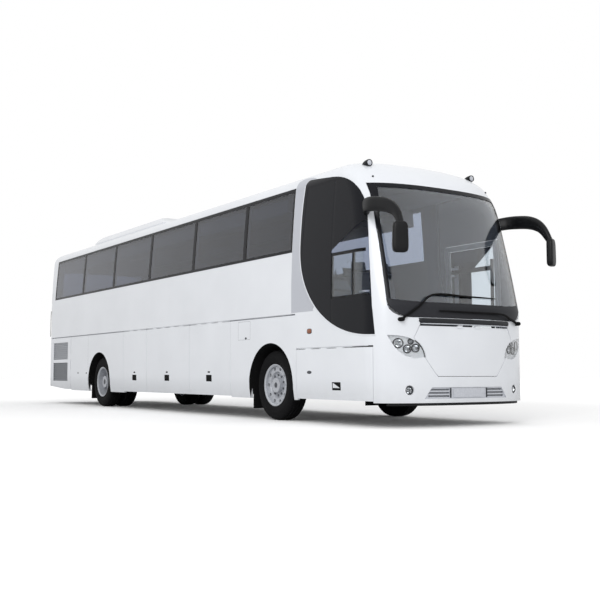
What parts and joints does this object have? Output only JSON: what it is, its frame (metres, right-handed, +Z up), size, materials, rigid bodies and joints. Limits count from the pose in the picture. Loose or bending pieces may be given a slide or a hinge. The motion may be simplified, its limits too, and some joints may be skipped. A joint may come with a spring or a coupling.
{
  "type": "touring coach",
  "caption": "White two-axle touring coach with a raked one-piece windscreen, flush dark side glass, luggage flaps, a swing-out entrance door and steered front wheels.",
  "frame": {"origin": "on the ground under the middle of the bounding box", "axes": "+X forward, +Y to the left, +Z up"},
  "size_m": [12.8993, 2.7718, 3.72],
  "materials": {
    "white_paint": "gloss",
    "silver_paint": "satin",
    "tinted_glass": "gloss",
    "clear_glass": "gloss",
    "floor_covering": "matte",
    "black_plastic": "satin",
    "black_paint": "satin",
    "iron": "matte",
    "seat_cloth": "matte",
    "rack_plastic": "satin",
    "lamp_chrome": "gloss",
    "amber_plastic": "gloss",
    "red_plastic": "gloss",
    "grille_plastic": "satin",
    "tyre_rubber": "matte",
    "wheel_steel": "satin"
  },
  "bodies": {
    "coach": {"roof_panel": "white_paint", "side_wall_right": "white_paint", "side_wall_left": "white_paint", "skirt_right": "white_paint", "skirt_left": "white_paint", "tail_panel": "white_paint", "windscreen_frame": "white_paint", "front_mask": "white_paint", "arc_pillars": "silver_paint", "windscreen": "clear_glass", "side_glass_right": "tinted_glass", "side_glass_left": "tinted_glass", "driver_glass": "tinted_glass", "door_quarter_glass": "tinted_glass", "tail_glass": "tinted_glass", "floor_deck": "floor_covering", "luggage_floor": "floor_covering", "wheel_housings": "black_plastic", "chassis_frame": "black_paint", "front_axle": "black_paint", "rear_axle": "black_paint", "engine_block": "iron", "seat_cushions": "seat_cloth", "seat_backs": "seat_cloth", "dashboard": "black_plastic", "luggage_racks": "rack_plastic", "headlamps": "lamp_chrome", "lamp_lenses": "clear_glass", "marker_lamps": "amber_plastic", "tail_lamps": "red_plastic", "front_grille": "grille_plastic", "scuttle_strip": "black_plastic", "wipers": "black_plastic", "mirror_right": "black_plastic", "mirror_left": "black_plastic", "roof_unit": "white_paint"},
    "knuckle_right": {"knuckle_right": "black_paint"},
    "knuckle_left": {"knuckle_left": "black_paint"},
    "front_wheel_right": {"front_tyre_right": "tyre_rubber", "front_rim_right": "wheel_steel"},
    "front_wheel_left": {"front_tyre_left": "tyre_rubber", "front_rim_left": "wheel_steel"},
    "rear_wheels_right": {"rear_tyres_right": "tyre_rubber", "rear_rims_right": "wheel_steel"},
    "rear_wheels_left": {"rear_tyres_left": "tyre_rubber", "rear_rims_left": "wheel_steel"},
    "engine_lid": {"engine_lid": "white_paint"},
    "front_hatch": {"front_hatch": "white_paint"},
    "service_flap": {"service_flap": "white_paint"},
    "radiator_door": {"radiator_door": "white_paint"},
    "door_arms": {"door_arms": "black_paint"},
    "door_leaf": {"door_leaf": "white_paint", "door_glass": "tinted_glass"},
    "luggage_flap_right_1": {"luggage_flap_right_1": "white_paint"},
    "luggage_flap_right_2": {"luggage_flap_right_2": "white_paint"},
    "luggage_flap_right_3": {"luggage_flap_right_3": "white_paint"},
    "luggage_flap_left_1": {"luggage_flap_left_1": "white_paint"},
    "luggage_flap_left_2": {"luggage_flap_left_2": "white_paint"},
    "luggage_flap_left_3": {"luggage_flap_left_3": "white_paint"}
  },
  "joints": [
    {"name": "steer_right", "type": "hinge", "parent": "coach", "child": "knuckle_right", "pos_m": [3.42, -0.87, 0.5], "axis": [0, 0, 1], "range_deg": [-40, 40]},
    {"name": "steer_left", "type": "hinge", "parent": "coach", "child": "knuckle_left", "pos_m": [3.42, 0.87, 0.5], "axis": [0, 0, 1], "range_deg": [-40, 40]},
    {"name": "spin_front_right", "type": "hinge", "parent": "knuckle_right", "child": "front_wheel_right", "pos_m": [3.42, -1.06, 0.5], "axis": [0, 1, 0], "continuous": true},
    {"name": "spin_front_left", "type": "hinge", "parent": "knuckle_left", "child": "front_wheel_left", "pos_m": [3.42, 1.06, 0.5], "axis": [0, 1, 0], "continuous": true},
    {"name": "spin_rear_right", "type": "hinge", "parent": "coach", "child": "rear_wheels_right", "pos_m": [-3.28, -1.06, 0.5], "axis": [0, 1, 0], "continuous": true},
    {"name": "spin_rear_left", "type": "hinge", "parent": "coach", "child": "rear_wheels_left", "pos_m": [-3.28, 1.06, 0.5], "axis": [0, 1, 0], "continuous": true},
    {"name": "lift_flap_right_1", "type": "hinge", "parent": "coach", "child": "luggage_flap_right_1", "pos_m": [-1.45516, -1.269, 1.476], "axis": [-1, 0, 0], "range_deg": [0, 85]},
    {"name": "lift_flap_right_2", "type": "hinge", "parent": "coach", "child": "luggage_flap_right_2", "pos_m": [-0.03476, -1.269, 1.476], "axis": [-1, 0, 0], "range_deg": [0, 85]},
    {"name": "lift_flap_right_3", "type": "hinge", "parent": "coach", "child": "luggage_flap_right_3", "pos_m": [1.5404, -1.269, 1.476], "axis": [-1, 0, 0], "range_deg": [0, 85]},
    {"name": "lift_flap_left_1", "type": "hinge", "parent": "coach", "child": "luggage_flap_left_1", "pos_m": [-1.45516, 1.269, 1.476], "axis": [1, 0, 0], "range_deg": [0, 85]},
    {"name": "lift_flap_left_2", "type": "hinge", "parent": "coach", "child": "luggage_flap_left_2", "pos_m": [-0.03476, 1.269, 1.476], "axis": [1, 0, 0], "range_deg": [0, 85]},
    {"name": "lift_flap_left_3", "type": "hinge", "parent": "coach", "child": "luggage_flap_left_3", "pos_m": [1.5404, 1.269, 1.476], "axis": [1, 0, 0], "range_deg": [0, 85]},
    {"name": "lift_service_flap", "type": "hinge", "parent": "coach", "child": "service_flap", "pos_m": [4.76, -1.269, 1.0005], "axis": [-1, 0, 0], "range_deg": [0, 85]},
    {"name": "swing_radiator_door", "type": "hinge", "parent": "coach", "child": "radiator_door", "pos_m": [-4.9734, -1.269, 0.86], "axis": [0, 0, 1], "range_deg": [0, 100]},
    {"name": "lift_engine_lid", "type": "hinge", "parent": "coach", "child": "engine_lid", "pos_m": [-6.444, 0, 1.7105], "axis": [0, 1, 0], "range_deg": [0, 80]},
    {"name": "lift_front_hatch", "type": "hinge", "parent": "coach", "child": "front_hatch", "pos_m": [6.156, 0, 1.262], "axis": [0, -1, 0], "range_deg": [0, 70]},
    {"name": "swing_door_arms", "type": "hinge", "parent": "coach", "child": "door_arms", "pos_m": [5.428, 1.155, 1.4], "axis": [0, 0, -1], "range_deg": [0, 95]},
    {"name": "turn_door_leaf", "type": "hinge", "parent": "door_arms", "child": "door_leaf", "pos_m": [4.628, 1.155, 1.4], "axis": [0, 0, 1], "range_deg": [0, 95]}
  ],
  "couplings": [
    {"joint": "steer_left", "follows": "steer_right", "ratio": 1},
    {"joint": "turn_door_leaf", "follows": "swing_door_arms", "ratio": 1}
  ]
}
